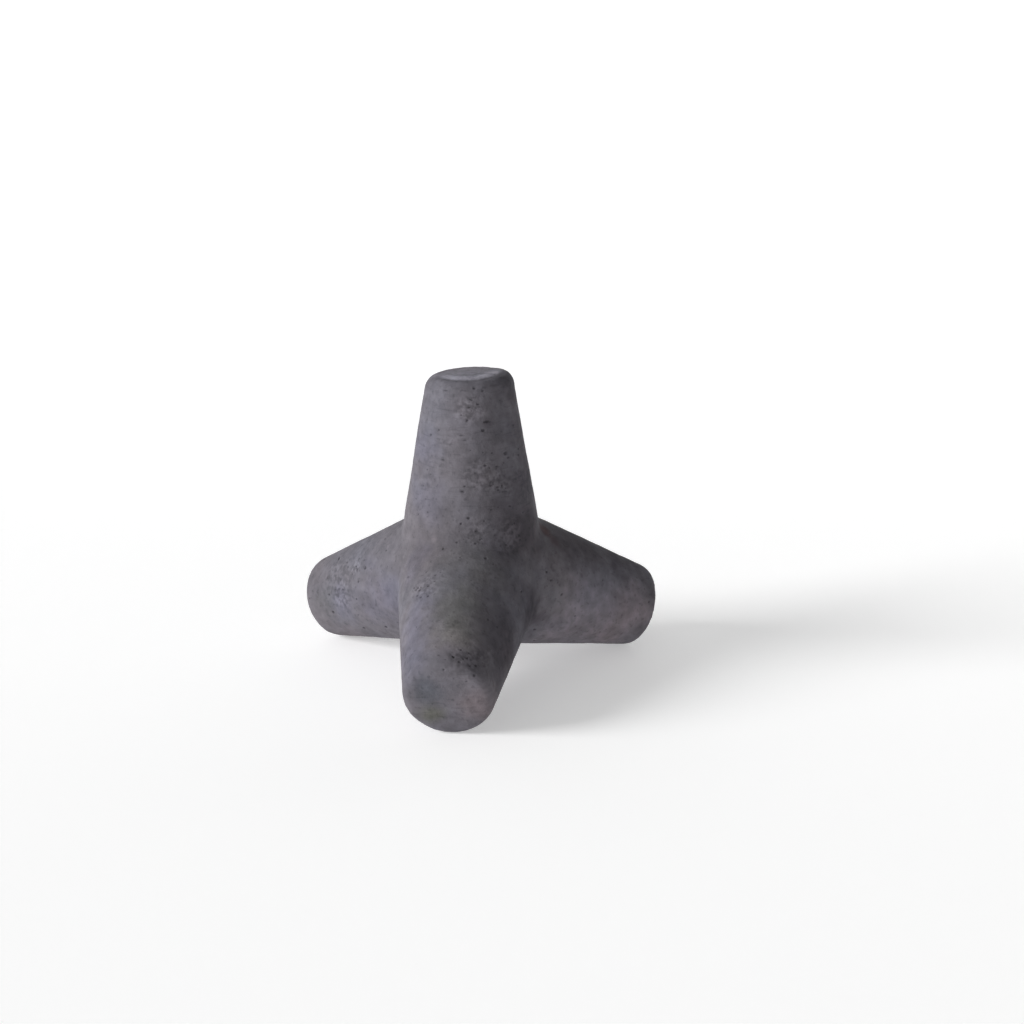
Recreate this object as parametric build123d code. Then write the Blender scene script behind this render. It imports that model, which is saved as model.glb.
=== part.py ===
from build123d import *

import os
from math import asin, degrees

# A concrete tetrapod: one casting with four equal round legs that taper towards flat ends. It
# stands on three of them, and the fourth points straight up. The origin is the point where the
# four leg axes meet, and one of the standing legs points towards -Y.

# Driving sizes, in millimetres
leg_length = 1313.0  # from the origin to the middle of a leg's end face
root_radius = 499.0  # a leg's cone where it passes the origin, buried in the middle of the block
end_radius = 272.5  # the same cone at the end face, before its rim is rounded
foot_rim_radius = 61.0  # rounded rim of the three ends that the mould closes
top_rim_radius = 88.0  # rounder rim of the end that was left open for pouring and trowelled
valley_radius = 120.0  # blend along the valley where two legs run into each other

# The axes point to the corners of a regular tetrahedron, so a standing leg droops below the
# level by the angle whose sine is a third
standing_azimuths = (-90, 30, 150)
leg_droop = degrees(asin(1 / 3))

# The seam line that turning leaves on each leg's skin is kept clear of the four points where
# three valleys meet
upright_seam = standing_azimuths[0] + 45
standing_seam = 90


def leg(rim_radius, seam):
    """One leg along +Z, turned from its half section, with a rounded rim at its end."""
    with BuildPart() as turned:
        with BuildSketch(Plane.XZ):
            with BuildLine():
                Polyline(
                    (0, 0),
                    (root_radius, 0),
                    (end_radius, leg_length),
                    (0, leg_length),
                    close=True,
                )
            make_face()
        revolve(axis=Axis.Z)
        fillet(turned.edges().filter_by(GeomType.CIRCLE).sort_by(Axis.Z)[-1], rim_radius)
    return Rot(0, 0, seam) * turned.part


def tetrapod():
    """The upright leg and the standing legs as one casting, with blended valleys."""
    legs = [leg(top_rim_radius, upright_seam)]
    for azimuth in standing_azimuths:
        droop = Rot(0, 0, azimuth) * Rot(0, 90 + leg_droop, 0)
        legs.append(droop * leg(foot_rim_radius, standing_seam))
    block = legs[0] + legs[1:]
    valleys = new_edges(*legs, combined=block)
    return fillet(valleys, valley_radius)


os.makedirs("parts", exist_ok=True)
block = tetrapod()
block.label = "tetrapod"
export_step(block, "parts/tetrapod.step")
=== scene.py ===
from math import asin, cos, pi, radians, sin
import bmesh
import bpy
import numpy as np
from mathutils import Matrix, Vector, noise
from mathutils.bvhtree import BVHTree
from mathutils.kdtree import KDTree


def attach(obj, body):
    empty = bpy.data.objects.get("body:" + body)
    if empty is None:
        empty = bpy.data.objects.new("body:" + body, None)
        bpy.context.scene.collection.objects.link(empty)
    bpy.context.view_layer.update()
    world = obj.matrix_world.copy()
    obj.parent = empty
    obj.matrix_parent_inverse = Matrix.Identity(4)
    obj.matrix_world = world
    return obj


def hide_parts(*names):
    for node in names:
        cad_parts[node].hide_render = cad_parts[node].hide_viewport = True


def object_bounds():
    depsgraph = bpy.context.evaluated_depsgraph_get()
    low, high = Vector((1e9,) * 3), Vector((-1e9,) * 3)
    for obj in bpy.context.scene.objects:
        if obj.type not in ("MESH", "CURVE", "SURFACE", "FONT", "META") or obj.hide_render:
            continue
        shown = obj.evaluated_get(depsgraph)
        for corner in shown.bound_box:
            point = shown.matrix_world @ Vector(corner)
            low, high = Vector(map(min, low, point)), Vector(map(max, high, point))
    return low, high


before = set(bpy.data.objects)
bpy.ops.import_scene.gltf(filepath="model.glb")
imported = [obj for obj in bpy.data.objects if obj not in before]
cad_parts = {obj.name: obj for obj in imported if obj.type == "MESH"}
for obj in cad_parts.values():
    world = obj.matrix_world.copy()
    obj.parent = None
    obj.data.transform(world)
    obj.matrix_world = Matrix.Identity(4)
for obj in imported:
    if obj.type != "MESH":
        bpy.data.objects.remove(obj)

cad_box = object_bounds()

# Camera: metres and degrees, from the block's origin, where its four leg axes meet
IMAGE_SIDE_PX = 1024
FOCAL_PX = 1719.5
SENSOR_MM = 36.0
CAMERA_POINT = Vector((1.3244, -10.7185, 3.5053))
CAMERA_AZIMUTH = 95.619
CAMERA_PITCH = 16.113
CAMERA_ROLL = 0.236

# The block's form, in metres, as its solid has it
STANDING_AZIMUTHS = (-90, 30, 150)
LEG_DROOP = asin(1 / 3)
LEG_LENGTH = cad_box[1][2]
FLOOR_Z = cad_box[0][2]
ROOT_RADIUS = 0.499
END_RADIUS = 0.2725
TOP_RIM = 0.088
FOOT_RIM = 0.061

# The trowel has flattened the upright leg's end this far into its rounded rim
TROWEL_MARGIN = 0.014
TOP_FLAT = END_RADIUS - TOP_RIM + TROWEL_MARGIN

# Places in the list of legs, which has the upright one first and then those of STANDING_AZIMUTHS
UPRIGHT = 0
RIGHT_LEG = 2

# Mesh of the visible skin. Each smoothing step in is followed by a slightly longer one out, so
# that the block doesn't shrink.
VOXEL = 0.0158
SMOOTH_STEPS = (0.5, -0.53)
FACET_PASSES = 18
PIT_CUTS = 3

# Relief: depths in metres, and scales as features to a metre
SWELL_DEPTH = 0.0022
SWELL_SCALE = 2.6
LUMP_DEPTH = 0.0011
LUMP_SCALE = 11
MOTTLE_DEPTH = 0.0005
MOTTLE_SCALE = 26
RIM_WEAR_DEPTH = 0.0028
HOLE_RAGGEDNESS = 0.4
HOLE_RAGGED_SCALE = 70
HOLE_DEPTH_PER_RADIUS = 0.6

# Faint marks round the upright leg, where one layer of the pour met the next, in metres
SEAM_LEVELS = (0.78, 0.92, 1.06)
SEAM_DEPTH = 0.0012
SEAM_WIDTH = 0.007
SEAM_WANDER = 0.012

# The trowelled end of the upright leg, in metres. The groove and a band of painted shade lie just
# outside its flat part.
TROWEL_CROWN = 0.005
TROWEL_ROUGHNESS = 0.0012
TROWEL_GROOVE = 0.006
GROOVE_OUTSIDE = 0.012
GROOVE_WIDTH = 0.015
PAINTED_SHADE_OUTSIDE = 0.018
PAINTED_SHADE_WIDTH = 0.017
END_BAND = 0.05
TOP_TILT = 0.024
SHARP_SHOULDER = 0.006
FRONT_LEAN = 0.25

# Light: degrees, and strengths
KEY_AZIMUTH = 203
KEY_ELEVATION = 23
KEY_ANGLE = 26
KEY_STRENGTH = 2.9
SKY_BRIGHT = 0.42
SKY_DIM = 0.05
FLOOR_GLOW = 0.36

# Concrete: the middle grey, and what a stain, or a patch of painted shade or painted light, multiplies
# it by
CONCRETE = np.array((0.140, 0.131, 0.149))
VIOLET = (0.97, 0.99, 1.09)
BLUE = (0.76, 0.82, 0.84)
GREEN = (0.85, 0.90, 0.70)
OLIVE = (0.88, 0.91, 0.79)
PINK = (1.12, 1.02, 0.99)
# Pale concrete, and painted light under the right leg
PALE_AND_PAINTED_LIGHT = (1.22, 1.20, 1.20)
# Soot, and painted shade on the side of the block turned away from the light
SOOT_AND_PAINTED_SHADE = (0.62, 0.60, 0.62)
RUST = (0.68, 0.46, 0.43)

# How far the colour wanders over the block, and how much paler or darker its places are, with painted
# shade and a painted highlight among them
HUE_WANDER = 0.04
TONE_WANDER = 0.08
# Painted shade in the valleys between the legs
PAINTED_VALLEY_SHADE = 0.10
TOP_PALER = 0.42
# Painted highlight along the near lip of the upright leg's end
PAINTED_LIP_HIGHLIGHT = 0.80
# Painted shade in a band just outside the top's groove
PAINTED_GROOVE_SHADE = 0.52
# Painted shade in the air holes
PAINTED_HOLE_SHADE = 0.42

# Seeds: of the offsets that make the edges of stains ragged, of the air holes, of guessed stains
DRIFT_SEED = 5
PIT_SEED = 11
HIDDEN_STAIN_SEED = 29

# Stains where the photograph has them, with patches of painted shade and painted light among them:
# middle, reach, tint, how strong at the middle
STAINS_AND_PAINTED_LIGHT = (
    ((-0.27, -0.22, 0.88), 0.20, VIOLET, 0.9),
    ((-0.26, -0.31, 0.56), 0.22, VIOLET, 0.7),
    ((-0.63, -0.10, -0.20), 0.30, VIOLET, 0.9),
    ((-0.24, -0.89, -0.05), 0.22, VIOLET, 1.0),
    ((-0.24, -1.12, -0.18), 0.26, VIOLET, 1.0),
    ((-0.47, -0.24, -0.08), 0.24, VIOLET, 0.9),
    ((-0.91, 0.14, -0.30), 0.22, VIOLET, 0.8),
    ((0.02, -0.87, 0.07), 0.24, OLIVE, 0.8),
    ((0.03, -1.07, -0.04), 0.22, OLIVE, 0.8),
    ((0.04, -1.10, -0.06), 0.22, PALE_AND_PAINTED_LIGHT, 1.5),
    ((0.10, -0.62, 0.20), 0.28, OLIVE, 0.5),
    ((-0.12, -1.26, -0.37), 0.15, BLUE, 1.0),
    ((-0.11, -1.21, -0.53), 0.12, GREEN, 0.9),
    ((0.17, -1.22, -0.46), 0.22, PINK, 0.9),
    ((0.16, -1.29, -0.29), 0.10, PALE_AND_PAINTED_LIGHT, 0.6),
    ((-1.04, 0.25, -0.36), 0.18, OLIVE, 0.3),
    ((0.98, 0.22, -0.44), 0.36, PINK, 0.4),
    # The strong pale entries below on the underside of the right leg are painted light, as if bounced
    # up from the floor
    ((0.84, 0.08, -0.40), 0.46, PALE_AND_PAINTED_LIGHT, 2.1),
    ((1.10, 0.31, -0.29), 0.24, PALE_AND_PAINTED_LIGHT, 1.7),
    ((0.60, -0.10, -0.32), 0.24, PALE_AND_PAINTED_LIGHT, 1.2),
    ((0.55, -0.17, -0.16), 0.26, OLIVE, 0.3),
    ((0.55, -0.17, -0.16), 0.28, PALE_AND_PAINTED_LIGHT, 1.35),
    ((0.76, 0.02, -0.16), 0.26, PALE_AND_PAINTED_LIGHT, 0.6),
    ((-0.54, -0.06, 0.16), 0.03, PALE_AND_PAINTED_LIGHT, 1.6),
    ((0.10, -1.24, -0.16), 0.10, SOOT_AND_PAINTED_SHADE, 0.2),
    ((0.18, -1.23, -0.20), 0.09, SOOT_AND_PAINTED_SHADE, 0.25),
    # The sooty entries below on the right-hand flanks and valleys, and on the top of the right leg, are
    # painted shade on the side turned away from the light
    ((0.30, -0.86, -0.12), 0.34, SOOT_AND_PAINTED_SHADE, 0.5),
    ((0.36, -1.02, -0.36), 0.26, SOOT_AND_PAINTED_SHADE, 0.6),
    ((0.25, -0.08, 1.22), 0.16, SOOT_AND_PAINTED_SHADE, 1.0),
    ((0.04, -0.30, 1.10), 0.20, PALE_AND_PAINTED_LIGHT, 0.5),
    ((0.30, -1.05, -0.27), 0.24, SOOT_AND_PAINTED_SHADE, 0.4),
    ((0.36, -0.90, -0.22), 0.34, SOOT_AND_PAINTED_SHADE, 1.15),
    ((0.43, -0.38, -0.22), 0.30, SOOT_AND_PAINTED_SHADE, 1.5),
    ((0.40, -0.19, 0.34), 0.22, SOOT_AND_PAINTED_SHADE, 1.0),
    ((0.40, -0.49, -0.04), 0.26, SOOT_AND_PAINTED_SHADE, 1.0),
    ((0.32, -0.30, 0.36), 0.28, SOOT_AND_PAINTED_SHADE, 0.8),
    ((0.23, -0.35, 0.44), 0.20, SOOT_AND_PAINTED_SHADE, 0.3),
    ((0.36, -0.12, 0.66), 0.26, SOOT_AND_PAINTED_SHADE, 1.1),
    ((0.33, -0.04, 0.98), 0.24, SOOT_AND_PAINTED_SHADE, 0.75),
    ((0.65, 0.24, 0.16), 0.32, SOOT_AND_PAINTED_SHADE, 0.9),
    ((0.98, 0.50, 0.00), 0.28, SOOT_AND_PAINTED_SHADE, 1.4),
    ((0.14, -0.28, 1.05), 0.055, SOOT_AND_PAINTED_SHADE, 0.7),
    ((0.10, -0.32, 0.72), 0.060, SOOT_AND_PAINTED_SHADE, 0.5),
    ((-0.31, -0.45, 0.18), 0.20, VIOLET, 0.7),
    ((-0.30, -0.47, 0.16), 0.26, SOOT_AND_PAINTED_SHADE, 0.2),
    ((-0.33, -0.53, 0.09), 0.06, PALE_AND_PAINTED_LIGHT, 0.8),
    ((-0.26, -0.69, 0.07), 0.06, PALE_AND_PAINTED_LIGHT, 0.8),
    ((-0.19, -0.40, 0.32), 0.03, PALE_AND_PAINTED_LIGHT, 2.2),
    ((0.32, -0.85, -0.14), 0.03, PALE_AND_PAINTED_LIGHT, 1.4),
    ((0.42, -0.05, -0.47), 0.03, PALE_AND_PAINTED_LIGHT, 2.2),
    ((0.48, 0.05, 0.27), 0.09, RUST, 0.9),
    ((0.56, 0.04, 0.21), 0.07, RUST, 0.5),
)

# Where air holes and mottling sit close together: middle and reach
PIT_CLUSTERS = (
    ((-0.91, 0.14, -0.22), 0.19),
    ((-0.80, 0.08, -0.02), 0.08),
    ((0.11, -0.35, 0.73), 0.15),
    ((0.04, -0.30, 1.15), 0.12),
    ((-0.20, -0.72, 0.10), 0.13),
    ((0.10, -1.24, -0.16), 0.11),
    ((0.28, -0.36, 0.34), 0.16),
    ((0.23, -0.30, 0.69), 0.11),
    ((0.08, -0.44, 0.36), 0.12),
)

# Single holes and scrapes of the photograph: middle, half height, how many times longer than high
MARKS = (
    ((0.14, -0.28, 1.06), 0.011, 2.6),
    ((0.12, -0.30, 1.01), 0.012, 1.3),
    ((-0.01, -0.33, 0.98), 0.006, 3.4),
    ((0.01, -0.33, 0.95), 0.005, 3.0),
    ((-0.16, -0.28, 1.00), 0.008, 1.0),
    ((-0.12, -0.25, 1.25), 0.007, 2.6),
    ((-0.13, -0.33, 0.82), 0.006, 2.8),
    ((0.25, -0.24, 0.85), 0.012, 1.4),
    ((-0.98, 0.20, -0.41), 0.0135, 1.5),
    ((-0.75, 0.11, -0.48), 0.0125, 1.7),
    ((-0.57, -0.04, -0.41), 0.013, 1.0),
    ((-0.78, 0.07, -0.05), 0.0135, 1.0),
    ((-0.71, 0.01, -0.02), 0.0135, 1.0),
    ((-0.76, 0.02, -0.12), 0.010, 1.0),
    ((-0.95, 0.33, -0.06), 0.0135, 1.7),
    ((-0.54, -0.06, 0.12), 0.008, 1.0),
    ((-0.01, -0.42, 0.43), 0.009, 1.0),
    ((0.51, -0.18, 0.05), 0.011, 1.0),
    ((0.54, -0.17, -0.01), 0.010, 1.2),
    ((0.61, -0.13, -0.12), 0.011, 1.0),
    ((-0.24, -0.70, 0.08), 0.010, 1.5),
    ((-0.17, -0.79, 0.07), 0.009, 1.2),
    ((0.69, -0.04, -0.30), 0.008, 2.4),
    ((0.42, -0.05, -0.49), 0.009, 1.2),
    ((-0.12, -0.47, 0.28), 0.009, 1.0),
    ((-0.34, -0.49, 0.09), 0.008, 2.4),
    ((-0.28, -0.64, 0.07), 0.008, 2.8),
    ((-0.22, -0.76, 0.05), 0.009, 2.0),
    ((0.04, -1.25, -0.14), 0.007, 1.3),
    ((0.08, -1.27, -0.17), 0.008, 1.6),
    ((0.12, -1.23, -0.16), 0.008, 1.2),
    ((0.17, -1.24, -0.20), 0.008, 1.5),
)

# Other air holes: how many, and their least and greatest half height
SCATTERED_PITS = 170
PITS_PER_CLUSTER = 12
PIT_RADIUS = (0.004, 0.0105)

# Stains that are guessed for the side that the photograph doesn't show: those of a number drawn
# all over the block that lie farther back than this
HIDDEN_STAINS = 34
BACK_FROM_Y = 0.25


def leg_axes():
    """Unit vectors along the upright leg and the three standing legs."""
    axes = [(0.0, 0.0, 1.0)]
    for azimuth in STANDING_AZIMUTHS:
        turn = radians(azimuth)
        axes.append((cos(turn) * cos(LEG_DROOP), sin(turn) * cos(LEG_DROOP), -sin(LEG_DROOP)))
    return np.array(axes)


AXES = leg_axes()


def smooth_step(value, low, high):
    """0 below low, 1 above high, and a smooth rise between them. low may be the greater one."""
    share = np.clip((value - low) / (high - low), 0.0, 1.0)
    return share * share * (3.0 - 2.0 * share)


def noise_at(points, scale, offset=0.0):
    """Gentle noise from about -1 to 1 at each point. Each use has an offset of its own, so that no
    two line up."""
    shift = Vector((offset, offset * 0.37, offset * 0.71))
    return np.array([noise.noise(Vector(point) * scale + shift) for point in points])


def fractal_at(points, scale, offset=0.0):
    """Noise with finer and finer octaves, from about -1 to 1, at each point."""
    shift = Vector((offset, offset * 0.37, offset * 0.71))
    return np.array([noise.fractal(Vector(point) * scale + shift, 0.8, 2.1, 4) for point in points])


def add_camera():
    """The photograph's own viewpoint, lens and slight roll."""
    azimuth = radians(CAMERA_AZIMUTH)
    pitch = radians(CAMERA_PITCH)
    forward = Vector((cos(azimuth) * cos(pitch), sin(azimuth) * cos(pitch), -sin(pitch)))
    level = forward.cross(Vector((0, 0, 1))).normalized()
    top = level.cross(forward)
    roll = radians(CAMERA_ROLL)
    up = top * cos(roll) + level * sin(roll)
    right = forward.cross(up)
    data = bpy.data.cameras.new("camera")
    data.sensor_width = SENSOR_MM
    data.lens = FOCAL_PX * SENSOR_MM / IMAGE_SIDE_PX
    camera = bpy.data.objects.new("camera", data)
    turned = Matrix((right, up, -forward)).transposed().to_4x4()
    camera.matrix_world = Matrix.Translation(CAMERA_POINT) @ turned
    bpy.context.scene.collection.objects.link(camera)
    bpy.context.scene.camera = camera


def even_mesh(source):
    """The solid's surface as an even mesh of small faces."""
    copy = bpy.data.objects.new("even_copy", source.data.copy())
    bpy.context.scene.collection.objects.link(copy)
    remesh = copy.modifiers.new("even", "REMESH")
    remesh.mode = "VOXEL"
    remesh.voxel_size = VOXEL
    evaluated = copy.evaluated_get(bpy.context.evaluated_depsgraph_get())
    mesh = bpy.data.meshes.new_from_object(evaluated)
    bpy.data.objects.remove(copy)
    return mesh


def vertex_points(mesh):
    """The mesh's vertices, a row for each."""
    points = np.empty(len(mesh.vertices) * 3)
    mesh.vertices.foreach_get("co", points)
    return points.reshape(-1, 3)


def smooth_facets(mesh, surface):
    """Puts the vertices on the solid's surface, then smooths its flat facets away."""
    points = vertex_points(mesh)
    points = np.array([surface.find_nearest(Vector(point))[0] for point in points])
    edges = np.empty(len(mesh.edges) * 2, dtype=np.int32)
    mesh.edges.foreach_get("vertices", edges)
    edges = edges.reshape(-1, 2)
    start, end = edges.T
    size = len(points)
    neighbours = np.bincount(edges.ravel(), minlength=size)[:, None]
    for step in SMOOTH_STEPS * FACET_PASSES:
        total = np.empty_like(points)
        for axis in range(3):
            column = points[:, axis]
            total[:, axis] = np.bincount(start, column[end], size)
            total[:, axis] += np.bincount(end, column[start], size)
        points = points + step * (total / neighbours - points)
    mesh.vertices.foreach_set("co", points.ravel())


def surface_point(axis, along, turn, surface):
    """A point on the skin, by how far along a leg it is and by the turn round the leg."""
    across = axis.orthogonal().normalized()
    radial = Matrix.Rotation(turn, 3, axis) @ across
    radius = ROOT_RADIUS + (END_RADIUS - ROOT_RADIUS) * along / LEG_LENGTH
    return surface.find_nearest(axis * along + radial * radius)[0]


def scatter_pits(surface):
    """Air holes left against the mould, as middle, half height and stretch: a thin scatter over
    all legs, and the photograph's clusters and single marks. Most of the drawn ones are small."""
    draw = np.random.default_rng(PIT_SEED)
    low, high = PIT_RADIUS
    pits = []
    for number in range(SCATTERED_PITS):
        axis = Vector(AXES[number % len(AXES)])
        along = LEG_LENGTH * draw.uniform(0.25, 0.97)
        point = surface_point(axis, along, draw.uniform(0, 2 * pi), surface)
        pits.append((point, low + (high - low) * draw.random() ** 2.4, draw.uniform(1.0, 1.6)))
    for middle, reach in PIT_CLUSTERS:
        for _ in range(PITS_PER_CLUSTER):
            offset = Vector(draw.normal(0, reach * 0.5, 3))
            point = surface.find_nearest(Vector(middle) + offset)[0]
            pits.append((point, low + (high - low) * draw.random() ** 2.0, draw.uniform(1.0, 1.8)))
    for middle, radius, stretch in MARKS:
        pits.append((surface.find_nearest(Vector(middle))[0], radius, stretch))
    return pits


def refine_round_pits(mesh, pits):
    """Splits the faces round each air hole, so that the hole is a round one."""
    grid = bmesh.new()
    grid.from_mesh(mesh)
    grid.faces.ensure_lookup_table()
    tree = KDTree(len(grid.faces))
    for face in grid.faces:
        tree.insert(face.calc_center_median(), face.index)
    tree.balance()
    near = set()
    for point, radius, stretch in pits:
        reach = radius * stretch + 0.6 * VOXEL
        near.update(index for _, index, _ in tree.find_range(point, reach))
    edges = sorted({edge.index for index in near for edge in grid.faces[index].edges})
    grid.edges.ensure_lookup_table()
    split = [grid.edges[index] for index in edges]
    bmesh.ops.subdivide_edges(grid, edges=split, cuts=PIT_CUTS, use_grid_fill=True)
    bmesh.ops.triangulate(grid, faces=[face for face in grid.faces if len(face.verts) > 4])
    grid.to_mesh(mesh)
    grid.free()


def leg_places(points):
    """For each point: which leg it is on, how far along, how far off the axis, and how clear of a
    valley."""
    along = points @ AXES.T
    order = np.sort(along, axis=1)
    leg = np.argmax(along, axis=1)
    reach = along[np.arange(len(points)), leg]
    off_axis = np.linalg.norm(points - reach[:, None] * AXES[leg], axis=1)
    return leg, reach, off_axis, order[:, -1] - order[:, -2]


def relief(points, normals):
    """How far the skin stands out from the solid, in metres, before its air holes."""
    leg, reach, off_axis, _ = leg_places(points)
    height = SWELL_DEPTH * fractal_at(points, SWELL_SCALE)
    height += LUMP_DEPTH * fractal_at(points, LUMP_SCALE, 5)
    height += MOTTLE_DEPTH * noise_at(points, MOTTLE_SCALE, 9)
    rim = np.where(leg == UPRIGHT, TOP_RIM, FOOT_RIM)
    on_rim = smooth_step(reach, LEG_LENGTH - 1.3 * rim, LEG_LENGTH - 0.4 * rim)
    on_rim *= smooth_step(off_axis, END_RADIUS - 1.5 * rim, END_RADIUS - 0.9 * rim)
    height -= RIM_WEAR_DEPTH * on_rim * (0.5 + np.abs(fractal_at(points, 9, 17)))
    on_upright = (leg == UPRIGHT) * smooth_step(reach, 0.5, 0.6)
    for level in SEAM_LEVELS:
        wander = SEAM_WANDER * noise_at(points, 2.4, level * 31)
        line = np.exp(-(((points[:, 2] + wander - level) / SEAM_WIDTH) ** 2))
        broken = smooth_step(noise_at(points, 5, level * 13), -0.2, 0.3)
        height -= SEAM_DEPTH * on_upright * line * broken
    return height + top_relief(points, normals, leg, reach, off_axis, on_rim)


def near_side(points):
    """1 round the front of the upright leg, 0 round its back, by the turn round its axis."""
    off_middle = np.maximum(np.hypot(points[:, 0], points[:, 1]), 0.01)
    facing = (FRONT_LEAN * points[:, 0] - points[:, 1]) / off_middle
    return smooth_step(facing, -0.1, 0.6)


def top_relief(points, normals, leg, reach, off_axis, on_rim):
    """The upright leg's end, trowelled by hand: a low crown inside a groove, a little out of level,
    and a fuller shoulder on its higher side."""
    on_top = (leg == UPRIGHT) * smooth_step(reach, LEG_LENGTH - 0.006, LEG_LENGTH - 0.001)
    ring = off_axis + 0.008 * noise_at(points, 7, 41)
    crown = TROWEL_CROWN * (1.0 - smooth_step(ring, 0.04, TOP_FLAT))
    hollow = np.exp(-(((ring - TOP_FLAT - GROOVE_OUTSIDE) / GROOVE_WIDTH) ** 2))
    groove = TROWEL_GROOVE * hollow * near_side(points)
    near_end = (leg == UPRIGHT) * smooth_step(reach, LEG_LENGTH - 0.16, LEG_LENGTH)
    tilt = TOP_TILT * 0.5 * near_end * np.maximum(normals[:, 2], 0.0) * points[:, 0] / END_RADIUS
    shoulder = SHARP_SHOULDER * on_rim * (leg == UPRIGHT) * smooth_step(points[:, 0], 0.08, 0.24)
    rough = TROWEL_ROUGHNESS * fractal_at(points, 16, 23)
    in_band = reach > LEG_LENGTH - END_BAND
    return on_top * (crown + rough) - (leg == UPRIGHT) * groove * in_band + tilt + shoulder


def dig_pits(points, height, pits):
    """Sinks each air hole into the relief, and returns how deep in a hole each point is, from 0
    to 1."""
    tree = KDTree(len(points))
    for index, point in enumerate(points):
        tree.insert(point, index)
    tree.balance()
    depth = np.zeros(len(points))
    for middle, radius, stretch in pits:
        level = Vector((-middle.y, middle.x, 0.0)).normalized()
        for place, index, _ in tree.find_range(middle, radius * stretch * 1.4):
            offset = place - middle
            along = offset.dot(level)
            across = offset - level * along
            distance = (across.length_squared + (along / stretch) ** 2) ** 0.5
            ragged = 1.0 + HOLE_RAGGEDNESS * noise.noise(place * HOLE_RAGGED_SCALE)
            inside = 1.0 - distance / (radius * ragged)
            if inside > 0:
                bowl = min(1.0, 1.5 * inside) ** 0.7
                height[index] -= HOLE_DEPTH_PER_RADIUS * radius * bowl
                depth[index] = max(depth[index], bowl)
    return depth


def cluster_share(points, drift):
    """How much each point is in one of the clusters, or in a patch of mottling elsewhere, from 0
    to 1."""
    share = np.zeros(len(points))
    for middle, spread in PIT_CLUSTERS:
        distance = np.linalg.norm(points + 0.3 * spread * drift - np.array(middle), axis=1)
        share = np.maximum(share, smooth_step(distance, 1.1 * spread, 0.3 * spread))
    return np.maximum(share, 0.7 * smooth_step(fractal_at(points, 2.3, 29), 0.25, 0.7))


def drift_at(points):
    """Small wandering offsets that make a stain's edge ragged. The seed makes them the same on each
    run, because vector noise otherwise takes its place from the clock."""
    noise.seed_set(DRIFT_SEED)
    drift = np.array([noise.noise_vector(Vector(point) * 5) for point in points])
    return drift + 0.5 * np.array([noise.noise_vector(Vector(point) * 16) for point in points])


def hidden_stains(surface):
    """Stains scattered over the back of the block, as middle, reach, tint and strength."""
    draw = np.random.default_rng(HIDDEN_STAIN_SEED)
    tints = (VIOLET, PINK, PALE_AND_PAINTED_LIGHT, SOOT_AND_PAINTED_SHADE, OLIVE, VIOLET, PALE_AND_PAINTED_LIGHT, SOOT_AND_PAINTED_SHADE, GREEN)
    tint_patches = []
    for number in range(HIDDEN_STAINS):
        axis = Vector(AXES[number % len(AXES)])
        along = LEG_LENGTH * draw.uniform(0.35, 1.0)
        point = surface_point(axis, along, draw.uniform(0, 2 * pi), surface)
        reach = draw.uniform(0.12, 0.30)
        strength = draw.uniform(0.3, 0.8)
        if point.y > BACK_FROM_Y:
            tint_patches.append((point, reach, tints[number % len(tints)], strength))
    return tint_patches


def weathering_and_painted_light(points, depth, drift, tint_patches):
    """The concrete's colour at each point, before its fine grain, with painted shade and a painted
    highlight in it.
    """
    leg, reach, off_axis, clear = leg_places(points)
    tint = np.ones((len(points), 3))
    hue = fractal_at(points, 1.7, 61)[:, None]
    tint *= 1.0 + HUE_WANDER * hue * np.array((1.0, -0.1, -1.1))
    tint *= 1.0 + TONE_WANDER * fractal_at(points, 3.1, 83)[:, None]
    # Stains, and the patches of painted shade and painted light from the table
    for middle, spread, colour, strength in tint_patches:
        distance = np.linalg.norm(points + 0.35 * spread * drift - np.array(middle), axis=1)
        share = strength * smooth_step(distance, spread, 0.15 * spread)[:, None]
        tint *= 1.0 + share * (np.array(colour) - 1.0)
    # Painted shade in the valleys between the legs
    painted_valley = smooth_step(clear + 0.06 * drift[:, 0], 0.16, 0.0)[:, None]
    tint *= 1.0 - PAINTED_VALLEY_SHADE * painted_valley
    on_end = (leg == UPRIGHT) * smooth_step(reach, LEG_LENGTH - 0.012, LEG_LENGTH - 0.004)
    ring = off_axis + 0.008 * drift[:, 1]
    # The upright leg's end is made paler all over, with a painted highlight along its lip on the near
    # side
    edge = smooth_step(ring, 0.09, 0.14) * smooth_step(ring, TOP_FLAT + 0.004, TOP_FLAT - 0.012)
    tint *= 1.0 + (on_end * (TOP_PALER + PAINTED_LIP_HIGHLIGHT * edge * near_side(points)))[:, None]
    # Painted shade in a band just outside the top's groove, on its near side
    in_band = (leg == UPRIGHT) * (reach > LEG_LENGTH - END_BAND)
    painted_band = in_band * np.exp(-(((ring - TOP_FLAT - PAINTED_SHADE_OUTSIDE) / PAINTED_SHADE_WIDTH) ** 2))
    tint *= 1.0 - PAINTED_GROOVE_SHADE * (painted_band * near_side(points))[:, None]
    # Painted shade in the air holes, deeper where they are deeper
    tint *= 1.0 - PAINTED_HOLE_SHADE * depth[:, None]
    return CONCRETE * tint


def grain_shares(points, drift):
    """How much of three fine marks each point has: level streaks, run-off and mottling."""
    leg, reach, _, _ = leg_places(points)
    on_face = smooth_step(reach, LEG_LENGTH - 0.02, LEG_LENGTH - 0.005)
    streaks = np.where(leg == UPRIGHT, smooth_step(points[:, 2], 0.25, 0.5), on_face)
    run_off = (leg == RIGHT_LEG) * (1.0 - on_face)
    return np.column_stack([streaks, run_off, cluster_share(points, drift)])


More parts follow.
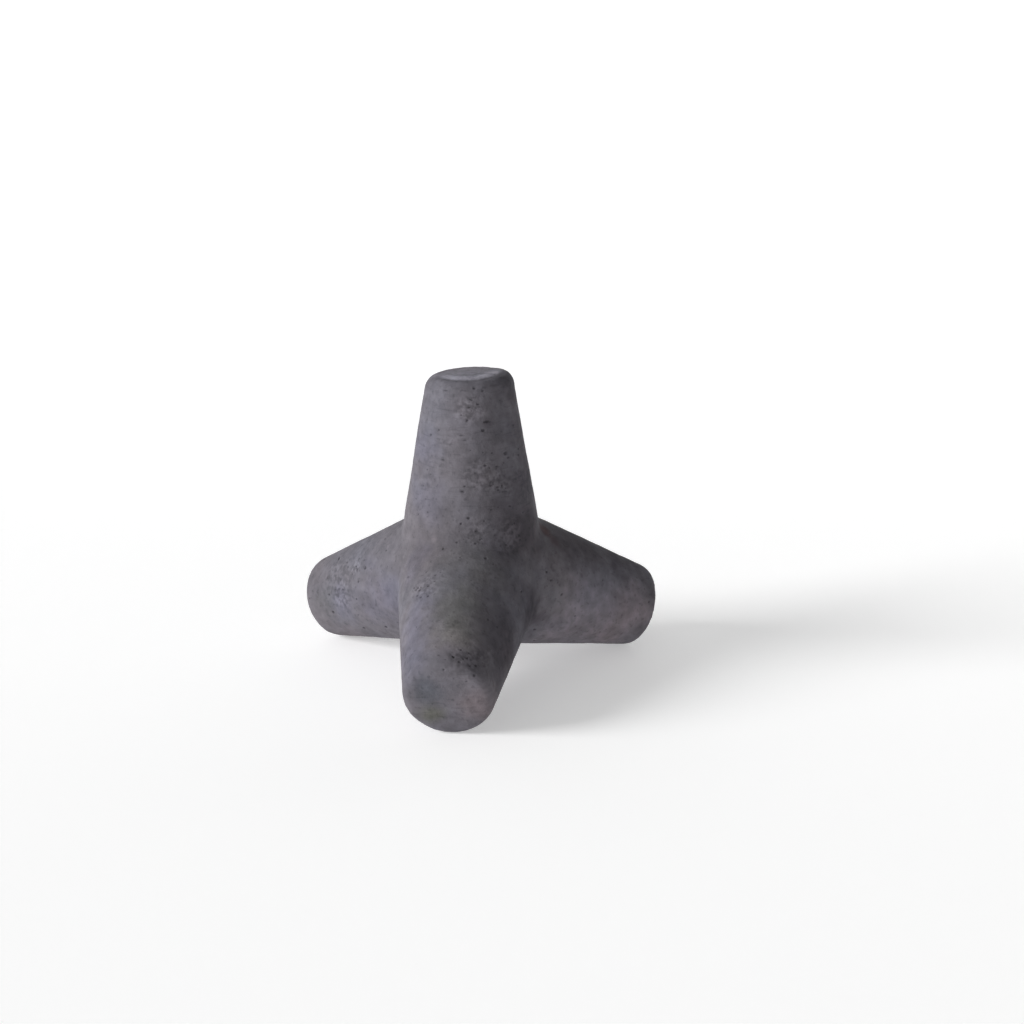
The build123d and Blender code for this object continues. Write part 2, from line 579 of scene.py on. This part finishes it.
def add_layer(mesh, name, colour):
    """Keeps a colour for each vertex, for the material to read."""
    layer = mesh.color_attributes.new(name, "FLOAT_COLOR", "POINT")
    layer.data.foreach_set("color", np.column_stack([colour, np.ones(len(colour))]).ravel())


def make_skin(source):
    """The block as it shows: the solid's surface with the relief and air holes of cast concrete."""
    solid_points = [vertex.co for vertex in source.data.vertices]
    solid_faces = [tuple(face.vertices) for face in source.data.polygons]
    surface = BVHTree.FromPolygons(solid_points, solid_faces)
    mesh = even_mesh(source)
    smooth_facets(mesh, surface)
    pits = scatter_pits(surface)
    refine_round_pits(mesh, pits)
    mesh.update()
    points = vertex_points(mesh)
    normals = np.empty(len(points) * 3)
    mesh.vertex_normals.foreach_get("vector", normals)
    normals = normals.reshape(-1, 3)
    height = relief(points, normals)
    depth = dig_pits(points, height, pits)
    drift = drift_at(points)
    moved = points + normals * height[:, None]
    moved[:, 2] = np.maximum(moved[:, 2], FLOOR_Z)
    mesh.vertices.foreach_set("co", moved.ravel())
    mesh.polygons.foreach_set("use_smooth", [True] * len(mesh.polygons))
    tint_patches = [*STAINS_AND_PAINTED_LIGHT, *hidden_stains(surface)]
    add_layer(mesh, "weathering_and_painted_light", weathering_and_painted_light(points, depth, drift, tint_patches))
    add_layer(mesh, "grain_shares", grain_shares(points, drift))
    mesh.update()
    mesh.materials.clear()
    mesh.materials.append(concrete_material())
    skin = bpy.data.objects.new("tetrapod_skin", mesh)
    bpy.context.scene.collection.objects.link(skin)
    return skin


def add_node(tree, kind, links=(), **values):
    """A shader node with its settings. Each input, by name or number, is joined to another node's
    output or set to a value."""
    node = tree.nodes.new(kind)
    for name, value in values.items():
        setattr(node, name, value)
    for name, source in dict(links).items():
        if isinstance(source, bpy.types.NodeSocket):
            tree.links.new(source, node.inputs[name])
        else:
            node.inputs[name].default_value = source
    return node


def grain(tree, where, scale, detail, values, becomes, stretch=(1, 1, 1)):
    """Noise at a scale, with its values between two limits turned into those between two others."""
    placed = add_node(tree, "ShaderNodeMapping", {"Vector": where, "Scale": stretch})
    settings = {"Vector": placed.outputs["Vector"], "Scale": scale, "Detail": detail, "Roughness": 0.55}
    field = add_node(tree, "ShaderNodeTexNoise", settings)
    ranges = {"Value": field.outputs["Fac"], "From Min": values[0], "From Max": values[1]}
    ranges.update({"To Min": becomes[0], "To Max": becomes[1]})
    return add_node(tree, "ShaderNodeMapRange", ranges).outputs["Result"]


def times(tree, first, second):
    """Two values multiplied."""
    return add_node(tree, "ShaderNodeMath", {0: first, 1: second}, operation="MULTIPLY").outputs[0]


def shaded(tree, shade, share, amount):
    """A shade made lighter by amount, or darker where amount is below 0, as far as share says."""
    change = add_node(tree, "ShaderNodeMath", {0: share, 1: amount, 2: 1.0}, operation="MULTIPLY_ADD")
    return times(tree, shade, change.outputs[0])


def concrete_material():
    """Cast concrete: weathered colour with painted shade and a painted highlight in it, mottling, dark
    specks, pour streaks and run-off, matt and finely rough."""
    material = bpy.data.materials.new("weathered_concrete_with_painted_light")
    material.use_nodes = True
    tree = material.node_tree
    shader = tree.nodes["Principled BSDF"]
    where = add_node(tree, "ShaderNodeTexCoord").outputs["Object"]
    weathered_with_painted_light = add_node(tree, "ShaderNodeAttribute", attribute_name="weathering_and_painted_light").outputs["Color"]
    shares = add_node(tree, "ShaderNodeAttribute", attribute_name="grain_shares").outputs["Color"]
    share = add_node(tree, "ShaderNodeSeparateColor", {"Color": shares}).outputs
    broad = grain(tree, where, 6, 3, (0.34, 0.66), (0.92, 1.08))
    mottling = grain(tree, where, 16, 3, (0.32, 0.68), (0.85, 1.15))
    specks = grain(tree, where, 34, 1, (0.60, 0.74), (1.0, 0.78))
    streaks = grain(tree, where, 8, 3, (0.56, 0.70), (0.0, -0.18), (1, 1, 9))
    run_off = grain(tree, where, 13, 2, (0.50, 0.75), (0.02, -0.12), (1, 1, 0.2))
    clustered = grain(tree, where, 31, 1, (0.38, 0.64), (0.22, -0.28))
    shade = times(tree, broad, mottling)
    shade = times(tree, shade, specks)
    shade = shaded(tree, shade, share["Red"], streaks)
    shade = shaded(tree, shade, share["Green"], run_off)
    shade = shaded(tree, shade, share["Blue"], clustered)
    colour = add_node(tree, "ShaderNodeVectorMath", {0: weathered_with_painted_light, "Scale": shade}, operation="SCALE")
    tree.links.new(colour.outputs["Vector"], shader.inputs["Base Color"])
    roughness = grain(tree, where, 30, 2, (0.3, 0.7), (0.84, 0.96))
    tree.links.new(roughness, shader.inputs["Roughness"])
    shader.inputs["Specular IOR Level"].default_value = 0.3
    coarse = grain(tree, where, 34, 2, (0.25, 0.75), (0.0, 1.0))
    fine = grain(tree, where, 150, 0, (0.3, 0.7), (0.0, 0.10))
    texture = add_node(tree, "ShaderNodeMath", {0: coarse, 1: fine}, operation="ADD").outputs[0]
    bump = add_node(tree, "ShaderNodeBump", {"Height": texture, "Strength": 0.4, "Distance": 0.004})
    tree.links.new(bump.outputs["Normal"], shader.inputs["Normal"])
    return material


def add_floor():
    """A pale floor that sweeps up into a wall far behind the block."""
    half_width = 60
    front = -40
    back = 22
    sweep = 6
    sweep_steps = 24
    wall_top = 14
    profile = [(front, FLOOR_Z), (back - sweep, FLOOR_Z)]
    for step in range(1, sweep_steps + 1):
        turn = pi / 2 * step / sweep_steps
        profile.append((back - sweep + sweep * sin(turn), FLOOR_Z + sweep * (1 - cos(turn))))
    profile.append((back, wall_top))
    points = [(x, y, z) for y, z in profile for x in (-half_width, half_width)]
    faces = [(2 * i, 2 * i + 1, 2 * i + 3, 2 * i + 2) for i in range(len(profile) - 1)]
    mesh = bpy.data.meshes.new("floor")
    mesh.from_pydata(points, [], faces)
    mesh.polygons.foreach_set("use_smooth", [True] * len(faces))
    material = bpy.data.materials.new("floor_paint")
    material.use_nodes = True
    paint = material.node_tree.nodes["Principled BSDF"]
    paint.inputs["Base Color"].default_value = (0.9, 0.9, 0.9, 1)
    paint.inputs["Roughness"].default_value = 0.9
    paint.inputs["Emission Color"].default_value = (1, 1, 1, 1)
    paint.inputs["Emission Strength"].default_value = FLOOR_GLOW
    mesh.materials.append(material)
    floor = bpy.data.objects.new("floor", mesh)
    bpy.context.scene.collection.objects.link(floor)


def add_light():
    """A wide soft light from the left of the camera, and a sky that dims away from it."""
    azimuth = radians(KEY_AZIMUTH)
    elevation = radians(KEY_ELEVATION)
    source = Vector((cos(azimuth) * cos(elevation), sin(azimuth) * cos(elevation), sin(elevation)))
    data = bpy.data.lights.new("key", "SUN")
    data.energy = KEY_STRENGTH
    data.angle = radians(KEY_ANGLE)
    key = bpy.data.objects.new("key", data)
    key.rotation_euler = source.to_track_quat("Z", "Y").to_euler()
    bpy.context.scene.collection.objects.link(key)
    world = bpy.data.worlds.new("studio")
    world.use_nodes = True
    tree = world.node_tree
    sky = tree.nodes["Background"]
    sky.inputs["Color"].default_value = (1, 1, 1, 1)
    toward = add_node(tree, "ShaderNodeTexCoord").outputs["Generated"]
    level = (cos(azimuth), sin(azimuth), 0.0)
    side = add_node(tree, "ShaderNodeVectorMath", {0: toward, 1: level}, operation="DOT_PRODUCT")
    ranges = {"Value": side.outputs["Value"], "From Min": -1.0, "To Min": SKY_DIM, "To Max": SKY_BRIGHT}
    strength = add_node(tree, "ShaderNodeMapRange", ranges)
    tree.links.new(strength.outputs["Result"], sky.inputs["Strength"])
    bpy.context.scene.world = world
    bpy.context.scene.view_settings.view_transform = "Standard"


add_camera()
skin = make_skin(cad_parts["tetrapod"])
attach(skin, "root")
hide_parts("tetrapod")
add_floor()
add_light()
